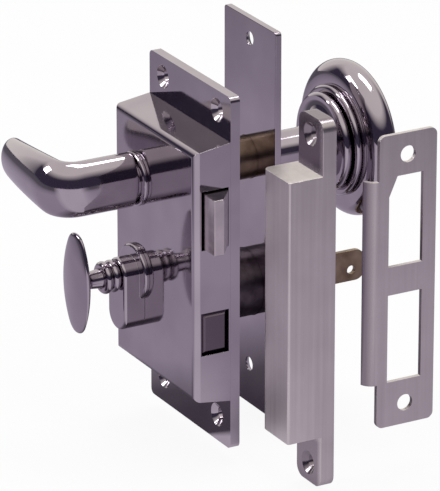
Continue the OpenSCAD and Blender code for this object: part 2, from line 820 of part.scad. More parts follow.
// Turned stem from the oval knob through the boss into the case: foot, neck and two rings
module turn_shaft() {
    knob_back = turn_knob_y + turn_knob_t / 2;
    boss_y = front_y - boss_h;
    ring = turn_ring_round;
    ring_c = turn_ring_r - ring;
    color(polished) turned_y(axis_x, turn_z) polygon(concat(
        [[0, knob_back], [turn_base_r, knob_back], [turn_base_r, knob_back + ring / 2]],
        arc(turn_neck_r + ring, knob_back + 1.5 * ring, ring, 240, 180, 4),
        arc(ring_c, boss_y - end_play - 3 * ring, ring, -120, 120, 8),
        arc(ring_c, boss_y - end_play - ring, ring, -120, 90, 8),
        [[turn_stem_r, boss_y - end_play], [turn_stem_r, crank_front], [0, crank_front]]));
}

// Crank on a pivot, with a pin that stands in the deadbolt's notch
module crank_outline(z, point) {
    translate([axis_x, z]) rotate(point) {
        circle(cam_hub_r + cam_rim);
        translate([-crank_end_r, 0]) square([2 * crank_end_r, crank_r]);
        translate([0, crank_r]) circle(crank_end_r);
    }
}

module turn_crank() {
    pin_z = turn_z - crank_r * cos(45);
    color(steel) {
        plate_y(crank_front, crank_back) crank_outline(turn_z, 135);
        rod_y(axis_x, turn_z, crank_back - over, -end_play, pivot_r);
        rod_y(pin_x, pin_z, crank_back - over, mid_y - pin_gap, pin_r);
    }
}

module cylinder_cam() {
    pin_z = cylinder_z + crank_r * cos(45);
    socket = [tail_bar_t + 2 * seat_fit, tail_bar_w + 2 * seat_fit];
    color(steel) difference() {
        union() {
            plate_y(cam_front, cam_back) crank_outline(cylinder_z, 45);
            rod_y(axis_x, cylinder_z, cam_back - over, -end_play, cam_hub_r);
            rod_y(pin_x, pin_z, mid_y + pin_gap, cam_front + over, pin_r);
        }
        bar_y(axis_x, cylinder_z, cam_front - over, over, socket[0], socket[1]);
    }
}

// Key cylinder held in the door by a ring outside and a nut inside
module cylinder_body() {
    bore = plug_d / 2 + run_fit;
    r = cylinder_d / 2;
    e = cylinder_edge;
    color(steel) turned_y(axis_x, cylinder_z) polygon([[bore, cylinder_rear], [r - e, cylinder_rear],
        [r, cylinder_rear + e], [r, cylinder_face - e], [r - e, cylinder_face], [bore, cylinder_face]]);
}

module cylinder_ring() {
    bore = cylinder_d / 2 + seat_fit;
    face = cylinder_face - cylinder_edge;
    color(polished) turned_y(axis_x, cylinder_z) polygon([[bore, plate_out], [ring_r, plate_out],
        [ring_r, plate_out + ring_base_t], [ring_r - ring_slope, face], [bore, face]]);
}

module cylinder_nut() {
    nut_y = cylinder_rear + nut_rear;
    color(gold) plate_y(nut_y, nut_y + nut_t) translate([axis_x, cylinder_z]) difference() {
        circle(r = ring_r, $fn = 8);
        circle(cylinder_d / 2 + seat_fit);
    }
}

// Plug with its keyway and the slot for the tailpiece bar
module cylinder_plug() {
    fit = 2 * seat_fit;
    rear = cylinder_rear - plug_rim;
    color(gold) difference() {
        union() {
            rod_y(axis_x, cylinder_z, rear, cylinder_face + plug_lip, plug_d / 2);
            rod_y(axis_x, cylinder_z, rear - plug_rim, cylinder_rear - end_play, plug_d / 2 + plug_rim);
        }
        bar_y(axis_x, cylinder_z, cylinder_rear + keyway_end, cylinder_face + 2 * plug_lip,
            key_t + fit, keyway_h + fit);
        bar_y(axis_x, cylinder_z, rear - plug_rim - over, cylinder_rear + tail_bar_in,
            tail_bar_t + fit, tail_bar_w + fit);
    }
}

module tailpiece() {
    color(steel) bar_y(axis_x, cylinder_z, cam_front + end_play, cylinder_rear + tail_bar_in,
        tail_bar_t, tail_bar_w);
}

// Key: toothed blade in the keyway, shoulder, shank and long bow with a hole
module key() {
    tip_y = cylinder_rear + keyway_end + 1;
    shoulder_y = cylinder_face + plug_lip + key_gap;
    bow_y = shoulder_y + key_shank;
    shank_h = keyway_h + 2 * key_collar;
    color(gold) translate([0, 0, cylinder_z]) plate_x(axis_x - key_t / 2, axis_x + key_t / 2) difference() {
        union() {
            translate([tip_y, -keyway_h / 2]) square([shoulder_y - tip_y, keyway_h]);
            translate([shoulder_y, -shank_h / 2]) square([key_shank + key_bow_r, shank_h]);
            round_rect(bow_y, -key_bow_h / 2 - key_bow_drop, key_bow_len, key_bow_h, key_bow_r);
        }
        for (i = [0:key_cuts - 1]) translate([tip_y + key_pitch * (i + 1), -keyway_h / 2 - key_gap])
            circle(key_t / 2 + 0.5 * (i * 7 % 3), $fn = 4);
        translate([bow_y + key_bow_len - key_bow_r - key_hole_r, -key_bow_drop - key_hole_r])
            circle(key_hole_r);
    }
}

// Box keeper: base plate with screw tabs, box open towards the lock, rounded front edges
module box_keeper() {
    x1 = keeper_x + keeper_w;
    base_y = keeper_back - keeper_base_t;
    r = keeper_lip_r;
    q = keeper_corner;
    color(satin) difference() {
        union() {
            plate_y(base_y, keeper_back) round_rect(keeper_x + keeper_tab_in, keeper_low - keeper_tab,
                keeper_w - keeper_tab_in, keeper_h + 2 * keeper_tab, keeper_tab_r);
            translate([0, 0, keeper_low]) linear_extrude(keeper_h) {
                translate([keeper_x + r, keeper_y]) square([keeper_w - r - q, keeper_d]);
                translate([keeper_x, keeper_y + r]) square([keeper_w, keeper_d - r]);
                translate([keeper_x + r, keeper_y + r]) circle(r);
                translate([x1 - q, keeper_y + q]) circle(q);
                translate([x1 - q, keeper_y + q]) square([q, r]);
            }
        }
        translate([keeper_x - over, keeper_y + keeper_wall, keeper_low + keeper_wall])
            cube([keeper_w + over - keeper_wall, base_y - keeper_y - keeper_wall, keeper_h - 2 * keeper_wall]);
        for (z = [keeper_low - keeper_tab + keeper_screw_in,
                  keeper_low + keeper_h + keeper_tab - keeper_screw_in])
            sunk_y(keeper_x + keeper_w / 2, z, base_y, keeper_back, screw_d, screw_head_d);
    }
}

// Strike plate with two windows and a lip that curves back along its inner edge
module strike_plate() {
    y0 = strike_out + window_inset;
    y1 = strike_out + strike_w - window_rim;
    upper = [latch_window_z - latch_window_h / 2, latch_window_z + latch_window_h / 2];
    color(satin) {
        plate_x(strike_x, strike_x + strike_t) difference() {
            round_rect(strike_out, strike_z - strike_h / 2, strike_w, strike_h, strike_r);
            translate([y0, bolt_window_z - bolt_window_h / 2]) square([y1 - y0, bolt_window_h]);
            polygon([[y0, upper[0]], [y1, upper[0]], [y1, upper[1]], [y0 + window_cut_y, upper[1]],
                [y0, upper[1] - window_cut_z]]);
            for (s = [-1, 1]) translate([strike_out + strike_w / 2, strike_z + s * strike_screw_span / 2])
                circle(strike_screw_d / 2);
        }
        translate([strike_x + strike_t - lip_r, strike_out + 0.01, strike_z - lip_h / 2])
            rotate([0, 0, -lip_turn]) rotate_extrude(angle = lip_turn)
            translate([lip_r - strike_t, 0]) square([strike_t, lip_h]);
    }
}

case_shell();
back_plate();
case_screws();
guide_posts();
lever_collar();
turn_collar();
bolt_spring();
outer_plate();
knob_bush();
cylinder_body();
cylinder_ring();
cylinder_nut();
box_keeper();
strike_plate();
lever_handle();
lever_grub_screw();
spindle();
hub_follower();
hub_spring();
door_knob();
knob_grub_screw();
latch_bolt();
latch_spring();
deadbolt();
turn_knob();
turn_shaft();
turn_crank();
cylinder_plug();
tailpiece();
cylinder_cam();
key();
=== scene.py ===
import json
import math

import bpy
from mathutils import Matrix, Vector


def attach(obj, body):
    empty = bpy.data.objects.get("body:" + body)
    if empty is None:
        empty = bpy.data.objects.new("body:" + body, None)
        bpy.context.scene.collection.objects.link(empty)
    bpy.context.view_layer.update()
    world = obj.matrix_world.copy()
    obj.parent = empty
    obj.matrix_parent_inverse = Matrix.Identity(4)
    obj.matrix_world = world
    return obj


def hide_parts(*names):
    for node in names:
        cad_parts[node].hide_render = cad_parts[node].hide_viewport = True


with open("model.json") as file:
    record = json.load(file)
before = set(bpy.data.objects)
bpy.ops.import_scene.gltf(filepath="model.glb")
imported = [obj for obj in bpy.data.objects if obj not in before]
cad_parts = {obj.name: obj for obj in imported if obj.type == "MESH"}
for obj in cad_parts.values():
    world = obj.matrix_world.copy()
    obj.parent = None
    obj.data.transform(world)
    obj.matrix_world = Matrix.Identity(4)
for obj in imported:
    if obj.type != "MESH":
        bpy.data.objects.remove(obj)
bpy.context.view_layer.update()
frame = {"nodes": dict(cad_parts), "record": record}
print("frame loaded,", len(frame["nodes"]), "nodes")


# a socket with the arithmetic that the finishes use
class Wire:
    def __init__(self, finish, socket):
        self.finish = finish
        self.socket = socket

    def math(self, operation, first, second):
        return self.finish.node("ShaderNodeMath", {"operation": operation}, {0: first, 1: second})

    def __add__(self, other):
        return self.math("ADD", self, other)

    def __radd__(self, other):
        return self.math("ADD", other, self)

    def __sub__(self, other):
        return self.math("SUBTRACT", self, other)

    def __rsub__(self, other):
        return self.math("SUBTRACT", other, self)

    def __mul__(self, other):
        return self.math("MULTIPLY", self, other)

    def __rmul__(self, other):
        return self.math("MULTIPLY", other, self)


# a material or the world, filled node by node
class Finish:
    def __init__(self, holder):
        self.holder = holder
        holder.use_nodes = True
        self.tree = holder.node_tree
        self.tree.nodes.clear()

    def node(self, kind, settings, sockets, out=0):
        made = self.tree.nodes.new(kind)
        for name, value in settings.items():
            if name == "stops":
                ramp = made.color_ramp
                while len(ramp.elements) < len(value):
                    ramp.elements.new(0.5)
                for element, (place, color) in zip(ramp.elements, value):
                    element.position = place
                    element.color = color
            else:
                setattr(made, name, value)
        for name, value in sockets.items():
            if isinstance(value, Wire):
                self.tree.links.new(value.socket, made.inputs[name])
            else:
                made.inputs[name].default_value = value
        if len(made.outputs) == 0:  # the output node ends the tree
            return None
        return Wire(self, made.outputs[out])


def newFinish(name):
    return Finish(bpy.data.materials.new(name))


def objectPlace(finish, scale=(1, 1, 1), turn=(0, 0, 0)):
    place = finish.node("ShaderNodeTexCoord", {}, {}, "Object")
    return finish.node("ShaderNodeMapping", {}, {"Vector": place, "Scale": scale, "Rotation": turn})


def axesOf(finish, place):
    return [finish.node("ShaderNodeSeparateXYZ", {}, {"Vector": place}, axis) for axis in "XYZ"]


def noise(finish, place, scale, detail=3.0, rough=0.5):
    sockets = {"Vector": place, "Scale": scale, "Detail": detail, "Roughness": rough}
    return finish.node("ShaderNodeTexNoise", {}, sockets, "Fac")


def ramp(finish, value, low, high):
    stops = [(low, (0, 0, 0, 1)), (high, (1, 1, 1, 1))]
    return finish.node("ShaderNodeValToRGB", {"stops": stops}, {"Fac": value})


def mixColor(finish, factor, first, second):
    sockets = {0: factor, 6: first, 7: second}
    return finish.node("ShaderNodeMix", {"data_type": "RGBA"}, sockets, 2)


def metalOut(finish, look, color, roughness, height):
    bump = {"Height": height, "Strength": look["lift"], "Distance": look["depth"]}
    normal = finish.node("ShaderNodeBump", {}, bump)
    sockets = {"Base Color": color, "Roughness": roughness, "Metallic": 1.0, "Normal": normal}
    shader = finish.node("ShaderNodeBsdfPrincipled", {}, sockets)
    finish.node("ShaderNodeOutputMaterial", {}, {"Surface": shader})
    return finish.holder


chromeLook = {"deep": (0.38, 0.335, 0.385, 1), "clear": (0.45, 0.405, 0.45, 1),
              "cloud": 38.0, "cloudStops": (0.32, 0.68), "fine": 900.0,
              "scratch": (1400, 1400, 60), "scratchTurn": (0.3, 0.2, 0.5), "scratchStops": (0.58, 0.75),
              "rough": 0.05, "cloudRough": 0.04, "scratchRough": 0.08, "lift": 0.03, "depth": 0.00005}


def polishedChrome():
    look = chromeLook
    finish = newFinish("polishedChrome")
    cloud = noise(finish, objectPlace(finish), look["cloud"], 2.0)
    fine = noise(finish, objectPlace(finish), look["fine"])
    scratch = noise(finish, objectPlace(finish, look["scratch"], look["scratchTurn"]), 1.0, 2.0)
    color = mixColor(finish, ramp(finish, cloud, *look["cloudStops"]), look["deep"], look["clear"])
    marks = ramp(finish, scratch, *look["scratchStops"])
    roughness = look["rough"] + look["cloudRough"] * cloud + look["scratchRough"] * marks
    return metalOut(finish, look, color, roughness, fine)


satinLook = {"dark": (0.55, 0.505, 0.51, 1), "light": (0.66, 0.615, 0.615, 1),
             "paintedDarkReflection": (0.25, 0.215, 0.245, 1), "streak": (420, 420, 9), "streakShare": 0.6,
             "cloud": 45.0, "stops": (0.35, 0.65), "rough": 0.26, "streakRough": 0.14,
             "paintedDarkGloss": 0.12, "lift": 0.05, "depth": 0.00005}
# the zone of the painted dark reflection on the keeper's tabs and the strike's lip
paintedDarkZone = {"tabMiddle": -0.002, "tabFrom": 0.0585, "tabSide": 0.0843, "keeperTo": 0.03,
             "lipTo": 0.0457, "fade": 0.0012}


# painted dark reflection on the satin pieces: the tabs of the keeper and the lip of the strike are darkened
def paintedDarkShare(finish):
    def past(value, start):
        return ramp(finish, value, paintedDarkZone[start], paintedDarkZone[start] + paintedDarkZone["fade"])

    x, y, z = axesOf(finish, finish.node("ShaderNodeTexCoord", {}, {}, "Object"))
    fromMiddle = {0: z - paintedDarkZone["tabMiddle"]}
    height = finish.node("ShaderNodeMath", {"operation": "ABSOLUTE"}, fromMiddle)
    tabs = past(height, "tabFrom") * (1 - past(x, "tabSide"))
    onStrike = past(y, "keeperTo")
    lip = 1 - past(y, "lipTo")
    return tabs * (1 - onStrike) + lip * onStrike


def satinNickel():
    look = satinLook
    finish = newFinish("satinNickel")
    streak = noise(finish, objectPlace(finish, look["streak"]), 1.0, 4.0, 0.6)
    cloud = noise(finish, objectPlace(finish), look["cloud"])
    grain = streak * look["streakShare"] + cloud * (1 - look["streakShare"])
    color = mixColor(finish, ramp(finish, grain, *look["stops"]), look["dark"], look["light"])
    # painted dark reflection: the keeper's tabs and the strike's lip take the dark colour and a lower roughness
    paintedDarkReflection = paintedDarkShare(finish)
    color = mixColor(finish, paintedDarkReflection, color, look["paintedDarkReflection"])
    roughness = look["rough"] + look["streakRough"] * streak - look["paintedDarkGloss"] * paintedDarkReflection
    return metalOut(finish, look, color, roughness, streak)


# the deadbolt below the latch is painted dark, a painted dark reflection; the latch keeps the plated colour
platedLook = {"dark": (0.52, 0.47, 0.49, 1), "light": (0.66, 0.60, 0.61, 1),
              "paintedDarkBolt": (0.14, 0.11, 0.14, 1), "paintedDarkBoltRise": 50, "paintedDarkBoltStops": (0.3, 0.5),
              "draw": (40, 900, 900), "cloud": 90.0, "stops": (0.3, 0.7),
              "rough": 0.14, "drawRough": 0.16, "lift": 0.08, "depth": 0.00006}


def platedBrass():
    look = platedLook
    finish = newFinish("platedBrass")
    draw = noise(finish, objectPlace(finish, look["draw"]), 1.0)
    cloud = noise(finish, objectPlace(finish), look["cloud"])
    color = mixColor(finish, ramp(finish, cloud, *look["stops"]), look["dark"], look["light"])
    height = axesOf(finish, finish.node("ShaderNodeTexCoord", {}, {}, "Object"))[2]
    # painted dark reflection: below the latch height the colour turns dark
    upper = ramp(finish, height * look["paintedDarkBoltRise"] + 0.5, *look["paintedDarkBoltStops"])  # the latch is brighter
    color = mixColor(finish, upper, look["paintedDarkBolt"], color)
    return metalOut(finish, look, color, look["rough"] + look["drawRough"] * draw, draw)


brassLook = {"dark": (0.13, 0.088, 0.06, 1), "light": (0.34, 0.255, 0.185, 1),
             "turned": (120, 1500, 120), "cloud": 110.0, "stops": (0.3, 0.72),
             "rough": 0.2, "cloudRough": 0.2, "lift": 0.1, "depth": 0.00006}
darkLook = {"dark": (0.055, 0.041, 0.053, 1), "light": (0.18, 0.145, 0.172, 1),
            "turned": (60, 1600, 60), "cloud": 160.0, "stops": (0.3, 0.75),
            "rough": 0.28, "cloudRough": 0.22, "lift": 0.1, "depth": 0.00006}


# metal off the lathe, clouded with age
def agedMetal(name, look):
    finish = newFinish(name)
    turned = noise(finish, objectPlace(finish, look["turned"]), 1.0, 2.0)
    cloud = noise(finish, objectPlace(finish), look["cloud"], 4.0)
    color = mixColor(finish, ramp(finish, cloud, *look["stops"]), look["dark"], look["light"])
    return metalOut(finish, look, color, look["rough"] + look["cloudRough"] * cloud, turned)


steelLook = {"dark": (0.24, 0.24, 0.25, 1), "light": (0.42, 0.42, 0.43, 1), "grain": (900, 60, 900),
             "rough": 0.22, "grainRough": 0.18, "lift": 0.08, "depth": 0.00005}


def brightSteel():
    look = steelLook
    finish = newFinish("brightSteel")
    grain = noise(finish, objectPlace(finish, look["grain"]), 1.0)
    color = mixColor(finish, grain, look["dark"], look["light"])
    return metalOut(finish, look, color, look["rough"] + look["grainRough"] * grain, grain)


finishes = {
    "polished_chrome": polishedChrome(),
    "satin_nickel": satinNickel(),
    "plated_brass": platedBrass(),
    "brass": agedMetal("oldBrass", brassLook),
    "steel": brightSteel(),
    "dark_steel": agedMetal("darkSteel", darkLook),
}
slotOf = {part["node"]: part["material_slot"] for part in frame["record"]["subparts"]}
bodies = frame["record"]["behaviour"]["bodies"]
bodyOf = {node: body for body, nodes in bodies.items() for node in nodes}
print("finishes made:", ", ".join(finishes))


def pickOnly(piece):
    bpy.ops.object.select_all(action="DESELECT")
    piece.select_set(True)
    bpy.context.view_layer.objects.active = piece


def settle(piece, node, soft=40):
    pickOnly(piece)
    bpy.ops.object.shade_smooth_by_angle(angle=math.radians(soft))
    piece.data.materials.clear()
    piece.data.materials.append(finishes[slotOf[node]])
    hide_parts(node)
    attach(piece, bodyOf[node])
    return piece


def applyModifier(piece, kind, **settings):
    pickOnly(piece)
    made = piece.modifiers.new(kind, kind)
    for name, value in settings.items():
        setattr(made, name, value)
    bpy.ops.object.modifier_apply(modifier=made.name)


# a copy of a solid with its broken edges
def edgedCopy(look):
    node = look["node"]
    piece = bpy.data.objects.new(look["name"], frame["nodes"][node].data.copy())
    bpy.context.scene.collection.objects.link(piece)
    pickOnly(piece)
    bpy.ops.object.mode_set(mode="EDIT")
    bpy.ops.mesh.select_all(action="SELECT")
    bpy.ops.mesh.remove_doubles(threshold=0.000002)
    bpy.ops.mesh.dissolve_limited(angle_limit=math.radians(0.4))
    bpy.ops.object.mode_set(mode="OBJECT")
    applyModifier(piece, "BEVEL", width=look["edge"], segments=look["steps"], limit_method="ANGLE",
                  angle_limit=math.radians(look["turn"]), use_clamp_overlap=True)
    settle(piece, node)
    applyModifier(piece, "WEIGHTED_NORMAL", weight=100, keep_sharp=True)  # keeps the big faces flat
    return piece


caseLook = {"node": "case_shell", "name": "caseShell", "edge": 0.0004, "steps": 3, "turn": 40}
edgedCopy(caseLook)
backLook = {"node": "back_plate", "name": "backPlate", "edge": 0.0006, "steps": 3, "turn": 40}
edgedCopy(backLook)
collarLook = {"node": "lever_collar", "name": "leverCollar", "edge": 0.0003, "steps": 2, "turn": 50}
edgedCopy(collarLook)
turnBossLook = {"node": "turn_collar", "name": "turnBoss", "edge": 0.0003, "steps": 2, "turn": 50}
edgedCopy(turnBossLook)
print("case dressed")

outerLook = {"node": "outer_plate", "name": "outerPlate", "edge": 0.0006, "steps": 3, "turn": 40}
edgedCopy(outerLook)
bushLook = {"node": "knob_bush", "name": "knobBush", "edge": 0.0003, "steps": 2, "turn": 40}
edgedCopy(bushLook)
bodyLook = {"node": "cylinder_body", "name": "cylinderBody", "edge": 0.0003, "steps": 2, "turn": 30}
edgedCopy(bodyLook)
ringLook = {"node": "cylinder_ring", "name": "cylinderRing", "edge": 0.0005, "steps": 3, "turn": 30}
edgedCopy(ringLook)
nutLook = {"node": "cylinder_nut", "name": "cylinderNut", "edge": 0.0005, "steps": 3, "turn": 35}
edgedCopy(nutLook)
plugLook = {"node": "cylinder_plug", "name": "cylinderPlug", "edge": 0.0003, "steps": 2, "turn": 40}
edgedCopy(plugLook)
keyLook = {"node": "key", "name": "doorKey", "edge": 0.0003, "steps": 2, "turn": 40}
edgedCopy(keyLook)
print("outside dressed")

# the forend would mirror the keeper's dark inside, so these two stay out of reflections
keeperLook = {"node": "box_keeper", "name": "boxKeeper", "edge": 0.0004, "steps": 3, "turn": 40}
edgedCopy(keeperLook).visible_glossy = False
strikeLook = {"node": "strike_plate", "name": "strikePlate", "edge": 0.0003, "steps": 2, "turn": 40}
edgedCopy(strikeLook).visible_glossy = False
latchLook = {"node": "latch_bolt", "name": "latchBolt", "edge": 0.0005, "steps": 3, "turn": 25}
edgedCopy(latchLook)
boltLook = {"node": "deadbolt", "name": "deadBolt", "edge": 0.0004, "steps": 3, "turn": 30}
edgedCopy(boltLook)
print("bolts, keeper and strike dressed")


def arcPoints(centre, radius, start, end, steps):
    angles = [math.radians(start + (end - start) * i / steps) for i in range(steps + 1)]
    return [(centre[0] + radius * math.cos(a), centre[1] + radius * math.sin(a)) for a in angles]


# turns a profile of (radius, place along Y) points in millimetres, ring by ring
def turnedPiece(name, axis, profile, sides):
    bpy.ops.object.select_all(action="DESELECT")
    first = profile[0]
    start = Vector((axis[0], first[1], axis[1])) / 1000
    bpy.ops.mesh.primitive_circle_add(vertices=sides, radius=first[0] / 1000, fill_type="NGON",
                                      location=start, rotation=(math.pi / 2, 0, 0))
    piece = bpy.context.object
    piece.name = name
    bpy.ops.object.transform_apply(location=True, rotation=True, scale=True)
    bpy.ops.object.mode_set(mode="EDIT")
    bpy.ops.mesh.select_all(action="SELECT")
    for before, after in zip(profile, profile[1:]):
        step = (0, (after[1] - before[1]) / 1000, 0)
        bpy.ops.mesh.extrude_region_move(TRANSFORM_OT_translate={"value": step})
        centre = Vector((axis[0], after[1], axis[1])) / 1000
        grow = after[0] / before[0]
        bpy.ops.transform.resize(value=(grow, 1, grow), center_override=centre)
    bpy.ops.mesh.select_all(action="SELECT")
    bpy.ops.mesh.remove_doubles(threshold=0.000001)
    bpy.ops.mesh.normals_make_consistent(inside=False)
    bpy.ops.object.mode_set(mode="OBJECT")
    return piece


spindleAxis = (-16.5, 29.0)  # X and Z in millimetres
turnAxis = (-16.5, -14.0)

knobForm = {"sides": 128, "spigot": 7.0, "spigotFrom": 18.0,
            "foot": 10.5, "footFrom": 38.3, "footLong": 3.0, "footEdge": 0.4, "footRound": 0.8,
            "neck": 8.5, "neckFrom": 1.5, "neckTo": 8.0, "flare": 20.45, "flareBack": 26.0,
            "bead": 19.95, "beadAt": 71.6, "beadRound": 2.2, "grooveIn": 1.5, "grooveBack": 9.5,
            "ridge": 1.6, "ridgeBack": 8.4, "rim": 28.0, "rimAt": 84.0, "rimRound": 7.0, "rimIn": 2.0,
            "faceOut": 4.0, "faceRound": 0.9, "dome": 80.0, "domeOut": 2.5}


def doorKnob():
    f = knobForm
    footEnd = f["footFrom"] + f["footLong"]
    footTurn = footEnd - f["footRound"]
    profile = [(f["spigot"], f["spigotFrom"]), (f["spigot"], f["footFrom"])]
    profile += [(f["foot"] - f["footEdge"], f["footFrom"]), (f["foot"], f["footFrom"] + f["footEdge"])]
    profile += [(f["foot"], footTurn)]
    profile += arcPoints((f["foot"] - f["footRound"], footTurn), f["footRound"], 0, 90, 4)[1:]
    profile += [(f["neck"], footEnd + f["neckFrom"]), (f["neck"], footEnd + f["neckTo"])]
    flareAt = f["rimAt"] - f["flareBack"]
    profile += arcPoints((f["flare"], flareAt), f["flare"] - f["neck"], 180, 95, 24)
    profile += arcPoints((f["bead"], f["beadAt"]), f["beadRound"], -70, 80, 16)
    profile += [(f["bead"] - f["grooveIn"], f["rimAt"] - f["grooveBack"])]
    ridgeAt = (f["bead"] + 2 * f["ridge"], f["rimAt"] - f["ridgeBack"])
    profile += arcPoints(ridgeAt, f["ridge"], -100, 80, 14)
    profile += [(f["rim"] - f["rimIn"], f["rimAt"] - f["rimRound"])]
    profile += arcPoints((f["rim"], f["rimAt"]), f["rimRound"], -80, 90, 28)
    faceAt = f["rimAt"] + f["rimRound"]
    faceEdge = f["bead"] + f["faceOut"]
    profile += [(faceEdge, faceAt)]
    profile += arcPoints((faceEdge, faceAt - f["faceRound"]), f["faceRound"], 110, 170, 4)
    domeAt = faceAt + f["domeOut"] - f["dome"]
    edge = 90 - math.degrees(math.asin(f["bead"] / f["dome"]))
    profile += arcPoints((0, domeAt), f["dome"], edge, 89.8, 20)
    return settle(turnedPiece("doorKnob", spindleAxis, profile, f["sides"]), "door_knob", 34)


doorKnob()

stemForm = {"sides": 64, "foot": 5.5, "from": -48.0, "footLong": 0.95, "neck": 3.8, "ring": 7.2,
            "round": 1.9, "boss": -32.0, "play": 0.3, "stem": 4.5, "to": -18.9}


def turnStem():
    f = stemForm
    ringAt = f["ring"] - f["round"]
    ringsTo = f["boss"] - f["play"]
    neckAt = (f["neck"] + f["round"], f["from"] + 1.5 * f["round"])
    profile = [(f["foot"], f["from"]), (f["foot"], f["from"] + f["footLong"])]
    profile += arcPoints(neckAt, f["round"], 240, 180, 10)
    profile += arcPoints((ringAt, ringsTo - 3 * f["round"]), f["round"], -120, 120, 24)
    profile += arcPoints((ringAt, ringsTo - f["round"]), f["round"], -120, 90, 24)
    profile += [(f["stem"], ringsTo), (f["stem"], f["to"])]
    return settle(turnedPiece("turnStem", turnAxis, profile, f["sides"]), "turn_shaft", 34)


turnStem()
print("knob and stem turned")

ovalForm = {"sides": 48, "halfWide": 11.5, "halfHigh": 23.0, "halfThick": 3.0, "at": -51.0,
            "endShare": 0.7, "crown": 125.0, "close": 1.2, "reach": 87, "stepBy": 6}


# half width of the oval of four arcs at a height
def ovalWidth(height):
    f = ovalForm
    endRound = f["endShare"] * f["halfWide"]
    endAt = f["halfHigh"] - endRound
    inner = f["halfWide"] - endRound
    sideAt = (endAt ** 2 - inner ** 2) / (2 * inner)
    sideRound = f["halfWide"] + sideAt
    if abs(height) > endAt * sideRound / (sideRound - endRound):
        return math.sqrt(max(0.0, endRound ** 2 - (abs(height) - endAt) ** 2))
    return math.sqrt(sideRound ** 2 - height ** 2) - sideAt


def ovalKnob():
    f = ovalForm
    angles = range(-f["reach"], f["reach"] + 1, f["stepBy"])
    heights = [f["halfHigh"] * math.sin(math.radians(a)) for a in angles]
    centres = [Vector((turnAxis[0], f["at"], turnAxis[1] + height)) / 1000 for height in heights]
    bpy.ops.object.select_all(action="DESELECT")
    bpy.ops.mesh.primitive_circle_add(vertices=f["sides"], radius=0.001, fill_type="NGON",
                                      location=centres[0])
    piece = bpy.context.object
    piece.name = "ovalKnob"
    bpy.ops.object.transform_apply(location=True, rotation=True, scale=True)
    bpy.ops.object.mode_set(mode="EDIT")
    bpy.ops.mesh.select_all(action="SELECT")
    before = (1.0, 1.0)
    for i, (height, centre) in enumerate(zip(heights, centres)):
        wide = ovalWidth(height)
        end = min(1.0, (f["halfHigh"] - abs(height)) / f["close"])
        pillow = f["halfThick"] - height ** 2 / (2 * f["crown"])
        thick = pillow * math.sqrt(1 - (1 - end) ** 2)
        if i > 0:
            step = centre - centres[i - 1]
            bpy.ops.mesh.extrude_region_move(TRANSFORM_OT_translate={"value": step})
        grow = (wide / before[0], thick / before[1], 1)
        bpy.ops.transform.resize(value=grow, center_override=centre)
        before = (wide, thick)
    bpy.ops.mesh.select_all(action="SELECT")
    bpy.ops.mesh.normals_make_consistent(inside=False)
    bpy.ops.object.mode_set(mode="OBJECT")
    applyModifier(piece, "SUBSURF", levels=1, render_levels=1)
    return settle(piece, "turn_knob", 60)


ovalKnob()
print("oval knob drawn")

leverForm = {"sides": 24, "halfThick": 8.0, "halfHigh": 12.5, "neckAt": -24.3, "gripAt": -58.0,
             "neckShares": (0, 0.02, 0.33, 0.66, 1), "bend": 9.0, "bendSteps": 7, "swell": 0.02,
             "length": 62.0, "gripSteps": 8, "drop": 3.0, "taper": 0.26, "gripTurn": 12,
             "tip": 8.0, "tipIn": 5.0, "tipHook": 2.2, "tipTurn": 14,
             "tipSteps": (18, 36, 52, 66, 78, 85), "shank": 9.0, "shankIn": 0.5, "shankTo": -22.3, "shankSides": 64}


# stations of the lever: place, turn of the section in plan, size of the section
def leverStations():
    f = leverForm
    x = spindleAxis[0]
    run = f["length"] - f["bend"] - f["tip"]
    neckLong = f["gripAt"] + f["bend"] - f["neckAt"]
    stations = [(x, f["neckAt"] + neckLong * t, 0, 90, 1.0) for t in f["neckShares"]]
    for i in range(1, f["bendSteps"] + 1):
        turn = 90 * i / f["bendSteps"]
        a = math.radians(turn)
        place = (x - f["bend"] * (1 - math.cos(a)), f["gripAt"] + f["bend"] * (1 - math.sin(a)))
        stations.append((*place, 0, 90 - turn, 1 + f["swell"] * math.sin(a)))
    full = 1 + f["swell"]
    for i in range(1, f["gripSteps"] + 1):
        t = i / f["gripSteps"]
        place = (x - f["bend"] - run * t, f["gripAt"] + f["tipIn"] * t * t)
        size = full * (1 - f["taper"] * t)
        stations.append((*place, -f["drop"] * t * t, -f["gripTurn"] * t, size))
    for degrees in f["tipSteps"]:
        a = math.radians(degrees)
        tipX = x - f["bend"] - run - f["tip"] * math.sin(a)
        tipY = f["gripAt"] + f["tipIn"] + f["tipHook"] * math.sin(a)
        size = full * (1 - f["taper"]) * math.cos(a)
        stations.append((tipX, tipY, -f["drop"], -f["tipTurn"], size))
    return stations


